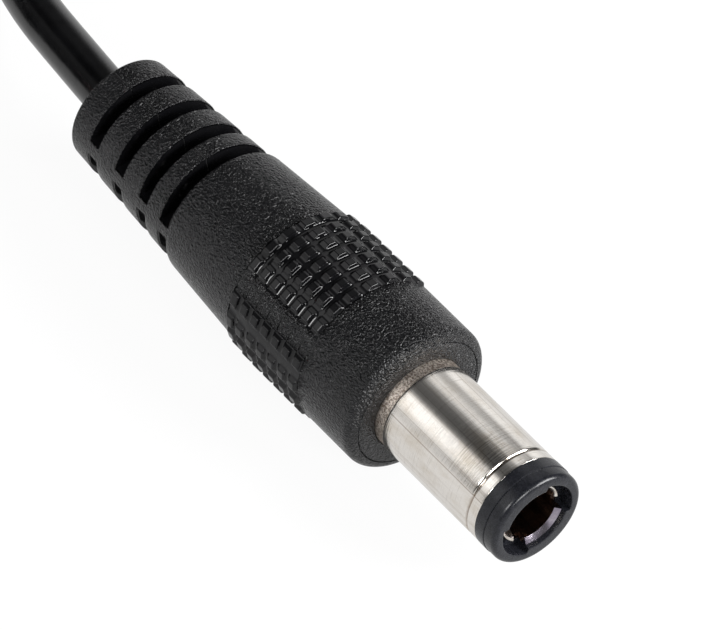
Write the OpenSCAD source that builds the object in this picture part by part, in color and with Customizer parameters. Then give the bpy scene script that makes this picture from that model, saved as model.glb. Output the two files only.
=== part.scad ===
// Moulded coaxial DC power plug, 5.5 x 2.5 mm, on a short two-core lead.
// +X runs along the plug from the cable to the open tip and +Z is up.  The
// origin is on the plug's axis, in the plane of the handle's front face.
// The mould's parting plane is z = 0.  All sizes are in millimetres.

/* [Barrel] */
// Outside diameter of the metal barrel
barrel_d = 5.5; // [5.3:0.05:5.7]
// Length of the barrel in front of the handle, insulating tip included
barrel_l = 9.6; // [8.5:0.1:11]
// Wall of the metal sleeve
sleeve_wall = 0.35; // [0.25:0.05:0.45]
// Length of the unplated band next to the handle
band_l = 0.65; // [0.3:0.05:1.2]
// How far the band stands below the plated surface
band_step = 0.04; // [0.02:0.01:0.1]
// Width of the groove behind the tip
groove_w = 0.2; // [0.1:0.05:0.4]
// Depth of that groove
groove_t = 0.09; // [0.04:0.01:0.15]
// Plated ring between the groove and the insulating tip
tip_ring_l = 0.6; // [0.4:0.05:1]
// Diameter of the flange that locks the sleeve in the handle
flange_d = 6.8; // [6.4:0.1:7]
// Thickness of that flange
flange_t = 0.6; // [0.4:0.05:0.8]
// Depth of the flange's front behind the handle's face
flange_depth = 1.0; // [0.8:0.1:1.6]

/* [Insulating tip] */
// Length of the plastic tip
tip_l = 1.52; // [1.2:0.02:2]
// How far the tip stands proud of the sleeve
tip_proud = 0.02; // [0:0.01:0.04]
// Distance from the tip's face to the joint line round it
tip_seam = 0.83; // [0.6:0.01:1]
// Rounding of the tip's rim
tip_round = 0.3; // [0.15:0.05:0.4]
// Angle of one of the two notches, from +Y towards +Z
notch_turn = 38; // [0:1:90]
// Half of the angle that each notch spans
notch_half = 46; // [36:1:50]
// Depth of the notches behind the face
notch_l = 0.9; // [0.6:0.1:1.2]
// Radial depth of the notches into the bore's wall
notch_t = 0.2; // [0.1:0.05:0.25]

/* [Centre contact] */
// Bore of the centre contact
contact_bore = 3.0; // [2.8:0.05:3.1]
// Wall of the centre contact
contact_wall = 0.35; // [0.25:0.05:0.4]
// How far the contact's mouth lies behind the tip's face
contact_set = 0.25; // [0.15:0.05:0.5]
// Gap that the two spring fingers leave for the centre pin
finger_gap = 2.6; // [2.6:0.1:2.8]
// Half of the angle that each spring finger spans
finger_half = 23; // [15:1:28]
// Length of the spring fingers
finger_l = 4.6; // [3:0.1:6]
// Diameter of the solder tail
tail_d = 1.1; // [0.9:0.1:1.2]
// Length of the solder tail behind the contact
tail_l = 2.4; // [2:0.1:3]

/* [Handle] */
// Largest diameter of the handle
handle_d = 8.7; // [8.4:0.1:9.6]
// Length of the handle in front of the strain relief
handle_l = 16.05; // [15:0.1:19]
// Length of the handle's straight front part
handle_straight = 8.65; // [6:0.1:10]
// Diameter at the back of the handle's taper
handle_back_d = 7.6; // [7.2:0.1:8]
// Rounding of the handle's front edge
front_round = 0.55; // [0.3:0.05:0.8]
// Rounding of the handle's back edge
back_round = 0.2; // [0.1:0.05:0.3]
// Height of the flat land on the front face
face_land = 0.03; // [0.02:0.01:0.06]

/* [Grip knobs] */
// Knobs in each lengthwise row
knobs = 7; // [4:1:7]
// Distance from the front face to the first knob's middle
knob_first = 4.62; // [4:0.1:6]
// Lengthwise pitch of the knobs
knob_pitch = 0.87; // [0.8:0.01:1]
// Length of a knob's flat top
knob_top_l = 0.42; // [0.3:0.02:0.5]
// Width of a knob's flat top
knob_top_w = 0.44; // [0.3:0.02:0.5]
// Length of a knob at the floor
knob_foot_l = 0.54; // [0.5:0.02:0.7]
// Width of a knob at the floor
knob_foot_w = 0.84; // [0.6:0.02:0.9]
// Height of the knobs above the handle's surface
knob_h = 0.15; // [0.08:0.01:0.2]
// Depth of the smooth floors between the knobs
floor_t = 0.05; // [0.02:0.01:0.1]
// Knob rows in the top field
top_rows = 7; // [3:2:7]
// Angle between the rows of the top field
top_row_turn = 15.4; // [14:0.1:16]
// Middle of the top field, from +Y towards +Z
top_field_at = 92; // [88:1:92]
// Angle of the single rows above the parting plane
side_row_turn = 11.5; // [9:0.5:13]
// Knob rows in the bottom field
bottom_rows = 12; // [6:2:12]
// Angle between the rows of the bottom field
bottom_row_turn = 15; // [14:0.1:15]

/* [Strain relief] */
// Thickness of the ribs, from the handle backwards
rib_t = [1.24, 1.54, 1.63, 1.64];
// Width of the slots at the web
slot_w = 0.69; // [0.5:0.01:0.8]
// Step down from the handle to the strain relief
relief_step = 0.12; // [0.05:0.01:0.2]
// Diameter at the back of the strain relief
relief_back_d = 6.3; // [6:0.1:6.8]
// Thickness of the web at its two edges
web_edge = 0.66; // [0.5:0.02:1]
// Slope of the web's faces, rising to the middle
web_slope = 11; // [5:1:15]
// Draft of each slot's front wall
front_draft = 2.5; // [1:0.5:4]
// Draft of each slot's back wall
back_draft = 0.5; // [0:0.5:2]
// Thickness of the sleeve of plastic round the cable
core_wall = 0.7; // [0.5:0.1:1]
// Rounding of the back edge
relief_round = 0.15; // [0.1:0.05:0.25]

/* [Inside] */
// Diameter of the inner moulding
inner_d = 6.0; // [5.4:0.1:6.2]
// Length of the inner moulding
inner_l = 8.5; // [8:0.1:9]
// Thickness of the insulating washer and of the tag's ring
washer_t = 0.4; // [0.3:0.05:0.5]
// Thickness of the folded solder tag
tag_t = 0.35; // [0.25:0.05:0.4]
// Width of the solder tag
tag_w = 1.2; // [0.8:0.1:1.4]
// Length of the solder tag behind its ring
tag_l = 3.2; // [2.8:0.1:3.6]

/* [Cable] */
// Diameter of the round cable
cable_d = 2.6; // [2.4:0.1:2.8]
// Diameter of each insulated core
core_d = 1.0; // [0.8:0.05:1.1]
// Diameter of each stranded conductor
wire_d = 0.5; // [0.3:0.05:0.6]
// Plastic between the two cores inside the jacket
core_gap = 0.04; // [0.02:0.01:0.1]
// Length of the bared cores inside the inner moulding
core_bare_l = 3.0; // [2.5:0.1:3.2]
// Length of the bared cores at the free end
end_core_l = 10; // [8:1:12]
// Length of the tinned wire at the free end
end_tinned_l = 3; // [2:0.5:4]
// Radius of the stored coil, to the middle of the cable
coil_r = 13; // [12:0.5:14]
// Angle covered by the coil's third, top turn
coil_top_turn = 210; // [150:5:215]
// Thickness of the tie round the coil
tie_t = 0.3; // [0.2:0.05:0.5]
// Width of the tie
tie_w = 3; // [2:0.5:4]

/* [Hidden] */
$fn = 48;
eps = 0.01;
barrel_r = barrel_d / 2;
sleeve_in_r = barrel_r - sleeve_wall;
band_r = barrel_r - band_step;
foot_r = band_r - 0.03;
tip_r = barrel_r + tip_proud;
sleeve_front = barrel_l - tip_l;
groove_x = sleeve_front - tip_ring_l - groove_w;
flange_r = flange_d / 2;
flange_back = -flange_depth - flange_t;
bore_r = contact_bore / 2;
contact_r = bore_r + contact_wall;
contact_front = barrel_l - contact_set;
contact_end_t = 0.5;
mouth_clear = 0.03;
mouth_r = contact_r + mouth_clear;
finger_r = finger_gap / 2;
finger_slot = 8;
washer_back = flange_back - washer_t;
tail_r = tail_d / 2;
tail_back = flange_back - tail_l;
ring_r = flange_r - 0.1;
handle_r = handle_d / 2;
handle_back_r = handle_back_d / 2;
handle_slope = (handle_r - handle_back_r) / (handle_l - handle_straight);
relief_r = handle_back_r - relief_step;
relief_back_r = relief_back_d / 2;
first_wall = 0.14;
relief_l = first_wall + len(rib_t) * slot_w + sum(rib_t, len(rib_t));
plug_back = -handle_l - relief_l;
cable_r = cable_d / 2;
core_r = core_d / 2;
wire_r = wire_d / 2;
core_y = core_r + core_gap / 2;
core_out_r = cable_r + core_wall;
inner_back = washer_back - inner_l;
jacket_front = inner_back + 1;
core_front = jacket_front + core_bare_l;
solder_film = 0.06;
tag_y = core_y + wire_r + solder_film;
knob_field_l = (knobs - 1) * knob_pitch;
knob_back = -knob_first - knob_field_l;
floor_margin = knob_foot_l / 2 + 0.08;
bottom_span = (bottom_rows - 1) * bottom_row_turn;
// The plug lies on the two lowest knob rows.
low_turn = bottom_row_turn / 2;
rest_z = -(handle_r + knob_h) * cos(low_turn) - knob_top_w / 2 * sin(low_turn);
lay_z = rest_z + tie_t + cable_r;
// Route of the lead from the strain relief to the coil.
lead_path = [
  [plug_back, 0, 0], [-26, 0.12, -0.1], [-27.5, 0.42, -0.35], [-30, 0.95, -0.79],
  [-34, 1.85, -1.51], [-38, 3.15, -2.27], [-42, 4.75, -2.75], [-46, 5.9, lay_z]
];
coil_at = [-55, 6 - coil_r];
coil_ramp = 70;
mid_layer_z = lay_z + 1.5 * cable_d;
tail_arc = end_core_l / coil_r * 180 / PI;
tinned_arc = end_tinned_l / coil_r * 180 / PI;
tie_turn = 110;

function sum(v, n) = n == 0 ? 0 : v[n - 1] + sum(v, n - 1);
// Radius of the handle's surface at x.
function handle_r_at(x) = handle_r - max(0, -x - handle_straight) * handle_slope;
// Back wall of slot i at the web.
function slot_back(i) = -handle_l - first_wall - (i + 1) * slot_w - sum(rib_t, i);
// Radius of the sleeve's foot, which tapers a little into the handle.
function foot_r_at(x) =
  foot_r + (band_r - foot_r) * (x + flange_depth) / (band_l + flange_depth);
function unit(v) = v / norm(v);

// Turns a profile of [radius, x] points round the plug's axis.
module turned() {
  rotate([0, 90, 0]) rotate_extrude() children();
}

// The same through part of a turn, from angle a to angle b.
module sector(a, b) {
  rotate([a, 0, 0]) rotate([0, 90, 0]) rotate([0, 0, 90])
    rotate_extrude(angle = b - a) children();
}

// Draws a [y, z] outline from x = a to x = b.
module along(a, b) {
  translate([a, 0, 0]) rotate([90, 0, 90]) linear_extrude(b - a) children();
}

// A rod along X from a to b.
module rod(a, b, r, y = 0) {
  translate([a, y, 0]) rotate([0, 90, 0]) cylinder(h = b - a, r = r);
}

// ---- Handle -----------------------------------------------------------

module body_profile() {
  polygon([
    [0, -handle_l], [handle_back_r - back_round, -handle_l],
    [handle_back_r, back_round - handle_l], [handle_r, -handle_straight],
    [handle_r, -front_round], [handle_r - front_round, -face_land],
    [handle_r - front_round - 0.02, 0], [0, 0]
  ]);
  translate([handle_r - front_round, -front_round])
    circle(front_round - face_land);
  translate([handle_back_r - back_round, back_round - handle_l]) circle(back_round);
}

module relief_profile() {
  polygon([
    [0, plug_back], [relief_back_r - relief_round, plug_back],
    [relief_back_r, plug_back + relief_round], [relief_r, -handle_l],
    [relief_r, 1 - handle_l], [0, 1 - handle_l]
  ]);
  translate([relief_back_r - relief_round, plug_back + relief_round])
    circle(relief_round);
}

// A drafted slot from the parting plane upwards.
module slot(i) {
  h = handle_r;
  a = slot_back(i);
  rotate([90, 0, 0]) linear_extrude(2 * handle_r, center = true)
    polygon([
      [a, 0], [a + slot_w, 0],
      [a + slot_w + h * tan(front_draft), h], [a - h * tan(back_draft), h]
    ]);
}

// Web between the upper and the lower slots, thickest in the middle.
module web() {
  y = relief_r + 1;
  e = web_edge / 2 - tan(web_slope);
  m = web_edge / 2 + relief_r * tan(web_slope);
  along(plug_back - 1, 1 - handle_l)
    polygon([[-y, e], [0, m], [y, e], [y, -e], [0, -m], [-y, -e]]);
}

// Both rows of slots, without the web and the sleeve of plastic round the cable.
module slots() {
  difference() {
    for (i = [0 : len(rib_t) - 1]) {
      slot(i);
      mirror([0, 0, 1]) slot(i);
    }
    web();
    rod(plug_back - 1, 1 - handle_l, core_out_r);
  }
}

// One lengthwise row of drafted knobs: a ridge cut by a comb.
module knob_row(turn) {
  foot = 0.25;
  side = (knob_foot_w - knob_top_w) / 2 / (knob_h + floor_t);
  lean = (knob_foot_l - knob_top_l) / 2 / (knob_h + floor_t);
  top = handle_r + knob_h;
  w = knob_top_w / 2 + side * (top - handle_r + 2 * foot);
  rotate([turn - 90, 0, 0]) intersection() {
    along(knob_back - 1, -knob_first + 1)
      polygon([
        [-w, handle_r - 2 * foot], [-knob_top_w / 2, top],
        [knob_top_w / 2, top], [w, handle_r - 2 * foot]
      ]);
    rotate([90, 0, 0]) linear_extrude(4 * knob_foot_w, center = true)
      polygon(concat(
        [[knob_back - 0.5, handle_r - 4 * foot]],
        [for (i = [knobs - 1 : -1 : 0], p = tooth(i, foot, lean)) p],
        [[0.5 - knob_first, handle_r - 4 * foot]]
      ));
  }
}

// Lengthwise outline of one knob, as [x, z] points.
function tooth(i, foot, lean) =
  let (
    x = -knob_first - i * knob_pitch,
    top = handle_r_at(x) + knob_h,
    low = handle_r_at(x) - foot,
    a = knob_top_l / 2,
    b = a + lean * (top - low)
  )
  [[x - b, low], [x - a, top], [x + a, top], [x + b, low]];

// Ring-shaped cut that leaves the smooth floor between the knobs.
module floor_cut(a, b) {
  back = knob_back - floor_margin;
  front = floor_margin - knob_first;
  bend = max(back + eps, min(front - eps, -handle_straight));
  sector(a, b)
    polygon([
      [handle_r_at(back) - floor_t, back], [handle_r_at(bend) - floor_t, bend],
      [handle_r_at(front) - floor_t, front], [handle_r + 1, front], [handle_r + 1, back]
    ]);
}

// Room in the handle for everything that it is moulded round.
module handle_cavity() {
  turned() polygon([
    [0, inner_back], [inner_d / 2, inner_back], [inner_d / 2, washer_back],
    [ring_r, washer_back], [ring_r, flange_back], [flange_r, flange_back],
    [flange_r, -flange_depth], [foot_r, -flange_depth], [foot_r_at(-0.1), -0.1],
    [band_r + 0.1, 0], [band_r + 0.1, 1], [0, 1]
  ]);
  rod(plug_back - 1, inner_back + eps, cable_r);
}

module handle() {
  field = (top_rows - 2) / 2 * top_row_turn;
  color([0.09, 0.09, 0.1]) difference() {
    union() {
      difference() {
        turned() {
          body_profile();
          relief_profile();
        }
        slots();
        floor_cut(top_field_at - field, top_field_at + field);
        floor_cut(180 - side_row_turn / 2, 360 + side_row_turn / 2);
      }
      for (i = [0 : top_rows - 1])
        knob_row(top_field_at + (i - (top_rows - 1) / 2) * top_row_turn);
      knob_row(side_row_turn);
      knob_row(180 - side_row_turn);
      for (i = [0 : bottom_rows - 1])
        knob_row(270 - bottom_span / 2 + i * bottom_row_turn);
    }
    handle_cavity();
  }
}

// ---- Barrel -----------------------------------------------------------

module barrel_sleeve() {
  color([0.82, 0.79, 0.74]) turned() polygon([
    [sleeve_in_r, flange_back], [flange_r, flange_back],
    [flange_r, -flange_depth], [foot_r, -flange_depth],
    [band_r, band_l], [barrel_r, band_l + band_step],
    [barrel_r, groove_x], [barrel_r - groove_t, groove_x + groove_w / 2],
    [barrel_r, groove_x + groove_w], [barrel_r, sleeve_front],
    [sleeve_in_r, sleeve_front]
  ]);
}

module tip_insulator() {
  seam_x = barrel_l - tip_seam;
  v = 0.03;
  color([0.27, 0.28, 0.3]) difference() {
    turned() {
      polygon([
        [contact_r, flange_back], [sleeve_in_r, flange_back],
        [sleeve_in_r, sleeve_front], [tip_r, sleeve_front],
        [tip_r, seam_x - v], [tip_r - 2 * v, seam_x], [tip_r - v, seam_x + v],
        [tip_r - v, barrel_l - tip_round], [tip_r - v - tip_round, barrel_l],
        [mouth_r, barrel_l], [mouth_r, contact_front], [contact_r, contact_front]
      ]);
      translate([tip_r - v - tip_round, barrel_l - tip_round]) circle(tip_round);
    }
    for (turn = [notch_turn, notch_turn + 180])
      sector(turn - notch_half, turn + notch_half)
        translate([0, barrel_l - notch_l])
          square([mouth_r + notch_t, notch_l + 1]);
  }
}

// Tube with a chamfered mouth, two spring fingers and a solder tail.
module centre_contact() {
  root = contact_front - finger_l;
  color([0.72, 0.68, 0.62]) {
    difference() {
      turned() polygon([
        [0, tail_back], [tail_r, tail_back], [tail_r, flange_back],
        [contact_r, flange_back], [contact_r, contact_front - 0.05],
        [contact_r - 0.05, contact_front],
        [bore_r, contact_front - contact_wall * 0.6],
        [bore_r, flange_back + contact_end_t], [0, flange_back + contact_end_t]
      ]);
      for (turn = [notch_turn, notch_turn + 180]) {
        sector(turn - finger_half - finger_slot, turn + finger_half + finger_slot)
          translate([bore_r - 0.2, root]) square([1, finger_l + 1]);
        sector(turn - notch_half, turn + notch_half)
          translate([bore_r - 0.2, barrel_l - notch_l]) square([1, notch_l + 1]);
      }
    }
    for (turn = [notch_turn, notch_turn + 180])
      sector(turn - finger_half, turn + finger_half) spring_finger(root - eps);
  }
}

// A finger runs inwards to grip the pin and flares out at its tip.
module spring_finger(root) {
  t = contact_wall * 0.75;
  grip = contact_front - 1.3;
  tip = contact_front - 0.3;
  polygon([
    [bore_r, root], [finger_r, grip - 0.2], [finger_r, grip + 0.2],
    [bore_r - 0.02, tip], [bore_r - 0.02 + t, tip - 0.05],
    [finger_r + t, grip + 0.1], [finger_r + t, grip - 0.2], [contact_r, root]
  ]);
}

module contact_washer() {
  color([0.85, 0.84, 0.8])
    turned() translate([tail_r, washer_back]) square([sleeve_in_r - tail_r, washer_t]);
}

// ---- Inside the handle ------------------------------------------------

// Ring behind the sleeve's flange, with a folded tag for the black core.
module sleeve_tag() {
  color([0.78, 0.74, 0.66]) {
    turned() translate([sleeve_in_r, washer_back])
      square([ring_r - sleeve_in_r, washer_t]);
    translate([washer_back - tag_t, 0.2 - inner_d / 2, -tag_w / 2])
      cube([tag_t, inner_d / 2 - 0.2 - tag_y, tag_w]);
    translate([washer_back - tag_l, -tag_y - tag_t, -tag_w / 2])
      cube([tag_l, tag_t, tag_w]);
  }
}

module inner_mould() {
  color([0.9, 0.89, 0.86]) difference() {
    rod(inner_back, washer_back, inner_d / 2);
    rod(tail_back, washer_back + 1, tail_r);
    rod(inner_back - 1, jacket_front, cable_r);
    rod(jacket_front - 1, core_front, core_r, core_y);
    rod(jacket_front - 1, core_front, core_r, -core_y);
    rod(core_front - 1, tail_back, wire_r, core_y);
    rod(core_front - 1, tail_back - 0.3, wire_r, -core_y);
    centre_bead();
    sleeve_bead();
    translate([washer_back - tag_t, 0.2 - inner_d / 2, -tag_w / 2])
      cube([tag_t + 1, inner_d / 2 - 0.2 - tag_y, tag_w]);
    translate([washer_back - tag_l, -tag_y - tag_t, -tag_w / 2])
      cube([tag_l + 1, tag_t, tag_w]);
  }
}

module centre_bead() {
  rod(tail_back - 0.5, tail_back + 0.4, wire_r + 0.35, core_y - 0.1);
}

module sleeve_bead() {
  rod(tail_back - 1.1, tail_back - 0.65, wire_r + 0.2, -core_y - 0.05);
}

module solder_centre() {
  color([0.75, 0.76, 0.77]) difference() {
    centre_bead();
    rod(tail_back, tail_back + 1, tail_r);
    rod(tail_back - 1, tail_back, wire_r, core_y);
  }
}

module solder_sleeve() {
  color([0.75, 0.76, 0.77]) difference() {
    sleeve_bead();
    rod(tail_back - 2, tail_back, wire_r, -core_y);
    translate([washer_back - tag_l, -tag_y - tag_t, -tag_w / 2])
      cube([tag_l, tag_t, tag_w]);
  }
}

module wire_red() {
  color([0.8, 0.5, 0.3]) rod(plug_back, tail_back, wire_r, core_y);
}

module wire_black() {
  color([0.8, 0.5, 0.3]) rod(plug_back, tail_back - 0.3, wire_r, -core_y);
}

module core_tube(y) {
  difference() {
    rod(plug_back, core_front, core_r, y);
    rod(plug_back - 1, core_front + 1, wire_r, y);
  }
}

module core_red() {
  color([0.7, 0.08, 0.06]) core_tube(core_y);
}

module core_black() {
  color([0.08, 0.08, 0.08]) core_tube(-core_y);
}

module cable_jacket() {
  color([0.1, 0.1, 0.11]) difference() {
    rod(plug_back, jacket_front, cable_r);
    rod(plug_back - 1, jacket_front + 1, core_r, core_y);
    rod(plug_back - 1, jacket_front + 1, core_r, -core_y);
  }
}

// ---- Lead -------------------------------------------------------------

// Sweeps an eight-sided tube along the points of a path.
module tube(path, r) {
  n = len(path);
  sides = 8;
  dirs = [for (i = [0 : n - 1])
    i == 0 ? [-1, 0, 0] : unit(path[min(i + 1, n - 1)] - path[i - 1])];
  rings = [for (i = [0 : n - 1])
    let (u = unit(cross([0, 0, 1], dirs[i])), v = cross(dirs[i], u))
    for (k = [0 : sides - 1])
      path[i] + r * (cos(k * 360 / sides) * u + sin(k * 360 / sides) * v)];
  walls = [for (i = [0 : n - 2], k = [0 : sides - 1], tri = [0, 1])
    let (a = i * sides + k, b = i * sides + (k + 1) % sides)
    tri == 0 ? [a, b, b + sides] : [a, b + sides, a + sides]];
  polyhedron(
    rings,
    concat(
      [[for (k = [sides - 1 : -1 : 0]) k]],
      walls,
      [[for (k = [0 : sides - 1]) (n - 1) * sides + k]]
    )
  );
}

module cord_lead() {
  color([0.1, 0.1, 0.11]) tube(lead_path, cable_r);
}

// Places a part of the coil, with angle 0 where the lead joins it.
module at_coil(turn = 0) {
  translate([coil_at[0], coil_at[1], 0]) rotate([0, 0, 90 + turn]) children();
}

// Two full turns on each other, and the third, part turn pressed a little into them.
module cord_coil() {
  nest = 0.05;
  color([0.1, 0.1, 0.11]) {
    at_coil() rotate_extrude()
      translate([coil_r - cable_r, lay_z - cable_r]) square([cable_d, 2 * cable_d]);
    at_coil(-coil_ramp) rotate_extrude(angle = coil_ramp + coil_top_turn)
      translate([coil_r - cable_r + nest, mid_layer_z - nest])
        square([cable_d - 2 * nest, cable_d + nest]);
  }
}

module coil_tie() {
  gap = 0.1;
  w = cable_d + 2 * gap;
  h = 3 * cable_d + 2 * gap;
  low = lay_z - cable_r - gap;
  color([0.12, 0.12, 0.12]) at_coil(tie_turn)
    translate([0, tie_w / 2, 0]) rotate([90, 0, 0]) linear_extrude(tie_w)
      difference() {
        translate([coil_r - w / 2 - tie_t, rest_z])
          square([w + 2 * tie_t, h + low - rest_z + tie_t]);
        translate([coil_r - w / 2, low]) square([w, h]);
      }
}

// The bared end lies along the second turn.
module end_arc(r, at, from, arc) {
  at_coil(coil_top_turn + from) rotate_extrude(angle = arc)
    translate([coil_r + at, mid_layer_z + core_r + 0.05]) circle(r);
}

module end_core_red() {
  color([0.7, 0.08, 0.06]) end_arc(core_r, core_r + 0.05, 0, tail_arc);
}

module end_core_black() {
  color([0.08, 0.08, 0.08]) end_arc(core_r, -core_r - 0.05, 0, tail_arc);
}

module tinned_red() {
  color([0.75, 0.76, 0.77]) end_arc(wire_r, core_r + 0.05, tail_arc, tinned_arc);
}

module tinned_black() {
  color([0.75, 0.76, 0.77]) end_arc(wire_r, -core_r - 0.05, tail_arc, tinned_arc);
}

handle();
barrel_sleeve();
tip_insulator();
centre_contact();
contact_washer();
sleeve_tag();
inner_mould();
solder_centre();
solder_sleeve();
wire_red();
wire_black();
core_red();
core_black();
cable_jacket();
cord_lead();
cord_coil();
coil_tie();
end_core_red();
end_core_black();
tinned_red();
tinned_black();
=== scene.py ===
import math

import bpy
import numpy as np
from mathutils import Matrix, Vector


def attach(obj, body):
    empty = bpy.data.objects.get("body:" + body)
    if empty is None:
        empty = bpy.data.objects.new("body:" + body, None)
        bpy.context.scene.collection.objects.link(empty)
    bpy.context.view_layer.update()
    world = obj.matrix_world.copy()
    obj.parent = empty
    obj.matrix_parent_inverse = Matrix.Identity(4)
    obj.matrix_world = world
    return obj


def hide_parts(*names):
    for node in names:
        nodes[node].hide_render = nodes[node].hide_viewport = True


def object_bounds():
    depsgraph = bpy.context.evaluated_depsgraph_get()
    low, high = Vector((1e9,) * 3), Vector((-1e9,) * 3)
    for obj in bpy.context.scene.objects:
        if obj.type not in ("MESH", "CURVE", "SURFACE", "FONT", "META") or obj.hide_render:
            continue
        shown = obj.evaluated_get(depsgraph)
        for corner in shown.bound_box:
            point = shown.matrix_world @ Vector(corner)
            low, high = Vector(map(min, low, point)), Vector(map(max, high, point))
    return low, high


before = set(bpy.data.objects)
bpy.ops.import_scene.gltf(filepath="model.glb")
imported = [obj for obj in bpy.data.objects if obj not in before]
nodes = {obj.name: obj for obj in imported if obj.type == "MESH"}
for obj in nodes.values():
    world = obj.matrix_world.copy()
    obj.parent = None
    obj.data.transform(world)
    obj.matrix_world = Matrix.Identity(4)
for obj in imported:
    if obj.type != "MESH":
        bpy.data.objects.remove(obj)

cad_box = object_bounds()
mm = 0.001

# ---- Camera ----------------------------------------------------------------
# A long lens above the plug's right-hand side: the barrel points down to the
# right and the cable leaves at the top left.
right = Vector((0.6088, 0.7803, 0.1429))
up = Vector((-0.6002, 0.3353, 0.7262))
lens = bpy.data.cameras.new("camera")
lens.sensor_width = 36
lens.lens = 396.3
lens.clip_start, lens.clip_end = 0.01, 5
camera = bpy.data.objects.new("camera", lens)
bpy.context.scene.collection.objects.link(camera)
camera.matrix_world = Matrix.Translation((0.19506, -0.20437, 0.26158)) @ Matrix(
    (right, up, right.cross(up))).transposed().to_4x4()
bpy.context.scene.camera = camera

# ---- Cable -----------------------------------------------------------------
# Round two-core cable with an extruded jacket of soft black PVC. It is moulded into
# the strain relief, sinks to the table and lies in a coil of two and a half turns.
cable_d = 2.6 * mm
lay_z = -2.88 * mm
coil_r = 13 * mm
coil_centre = Vector((-55 * mm, 6 * mm - coil_r, 0))
first_climb, second_climb, climb_turn = 285, 645, 40
end_turn, turn_step = 930, 15
lead = [Vector(p) * mm for p in (
    (-25, 0, 0), (-25.5, 0.04, -0.04), (-26, 0.12, -0.1), (-27.5, 0.42, -0.35), (-29, 0.74, -0.62),
    (-30, 0.95, -0.79), (-32, 1.39, -1.16), (-34, 1.85, -1.51), (-36, 2.46, -1.92), (-38, 3.15, -2.27),
    (-40, 3.94, -2.55), (-42, 4.75, -2.75), (-44, 5.42, -2.85), (-46, 5.87, -2.88),
    (-49, 6, -2.88), (-52, 6, -2.88))]


class Signal:
    """The output of a node. Sums and products of these add Math nodes."""

    def __init__(self, finish, socket):
        self.finish, self.socket = finish, socket

    def math(self, operation, *parts, clamp=False):
        settings = {"operation": operation, "use_clamp": clamp}
        return self.finish.node("ShaderNodeMath", settings, dict(enumerate(parts)))

    def __add__(self, other):
        return self.math("ADD", self, other)

    def __sub__(self, other):
        return self.math("SUBTRACT", self, other)

    def __rsub__(self, other):
        return self.math("SUBTRACT", other, self)

    def __mul__(self, other):
        return self.math("MULTIPLY", self, other)

    def __truediv__(self, other):
        return self.math("DIVIDE", self, other)

    def __rtruediv__(self, other):
        return self.math("DIVIDE", other, self)

    def __pow__(self, other):
        return self.math("POWER", self, other)

    def __neg__(self):
        return self * -1

    __radd__, __rmul__ = __add__, __mul__

    def step(self, low, high):
        """0 below low and 1 above high, with a smooth rise between."""
        return self.finish.node("ShaderNodeMapRange", {"interpolation_type": "SMOOTHSTEP"},
                                {"Value": self, "From Min": low, "From Max": high})

    def line(self, at, half):
        """1 at that value, falling to 0 within half of it."""
        return self.math("SUBTRACT", 1, self.math("ABSOLUTE", self - at) / half, clamp=True)


class Wiring:
    """A node tree, the place on it that it starts from, and the calls that add to it."""

    def __init__(self, tree, place):
        self.tree = tree
        self.place = self.node("ShaderNodeTexCoord", output=place)
        self.x, self.y, self.z = (
            self.node("ShaderNodeSeparateXYZ", {}, {"Vector": self.place}, output=i) for i in range(3))

    def node(self, kind, settings=None, values=None, output=0):
        made = self.tree.nodes.new(kind)
        for word, value in (settings or {}).items():
            if word == "stops":
                for stop, (at, colour) in zip(range(len(value)), value):
                    point = made.color_ramp.elements[stop] if stop < 2 else made.color_ramp.elements.new(at)
                    point.position, point.color = at, colour
            else:
                setattr(made, word, value)
        for word, value in (values or {}).items():
            if isinstance(value, Signal):
                self.tree.links.new(value.socket, made.inputs[word])
            else:
                made.inputs[word].default_value = value
        return Signal(self, made.outputs[output])

    def noise(self, scale, detail=2, rough=0.5, stretch=(1, 1, 1)):
        place = self.place
        if stretch != (1, 1, 1):
            place = self.node("ShaderNodeVectorMath", {"operation": "MULTIPLY"}, {0: place, 1: stretch})
        return self.node("ShaderNodeTexNoise", {}, {
            "Vector": place, "Scale": scale, "Detail": detail, "Roughness": rough})

    def mix(self, mask, low, high):
        return self.node("ShaderNodeMix", {"data_type": "RGBA"}, {0: mask, 6: low, 7: high}, output=2)

    def turn(self):
        """Angle round the plug's axis in degrees: 0 at +Y, 90 on top, 180 at -Y."""
        angle = self.node("ShaderNodeMath", {"operation": "ARCTAN2"}, {0: self.z, 1: self.y}) * (180 / math.pi)
        return self.node("ShaderNodeMath", {"operation": "WRAP"}, {0: angle, 1: 340.0, 2: -20.0})


class Finish(Wiring):
    """One material, made from its Principled shader outwards."""

    def __init__(self, name, **skin):
        self.material = bpy.data.materials.new(name)
        self.material.use_nodes = True
        super().__init__(self.material.node_tree, "Object")
        self.skin = self.tree.nodes["Principled BSDF"]
        for word, value in skin.items():
            self.skin.inputs[word.replace("_", " ").title().replace("Ior", "IOR")].default_value = value

    def bump(self, height, distance, strength=1.0):
        return self.node("ShaderNodeBump", {}, {"Height": height, "Distance": distance, "Strength": strength})

    def drive(self, **sockets):
        for word, signal in sockets.items():
            self.tree.links.new(signal.socket, self.skin.inputs[word.replace("_", " ").title()])
        return self


def smooth(t):
    t = min(max(t, 0), 1)
    return t * t * (3 - 2 * t)


def coil_point(turn, out=0.0, lift=0.0):
    """A point on the coil by its angle from the lead; the cable climbs a layer on each turn."""
    climb = smooth((turn - first_climb) / climb_turn) + smooth((turn - second_climb) / climb_turn)
    a = math.radians(90 + turn)
    r = coil_r + out
    return coil_centre + Vector((r * math.cos(a), r * math.sin(a), lay_z + climb * cable_d + lift))


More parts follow.
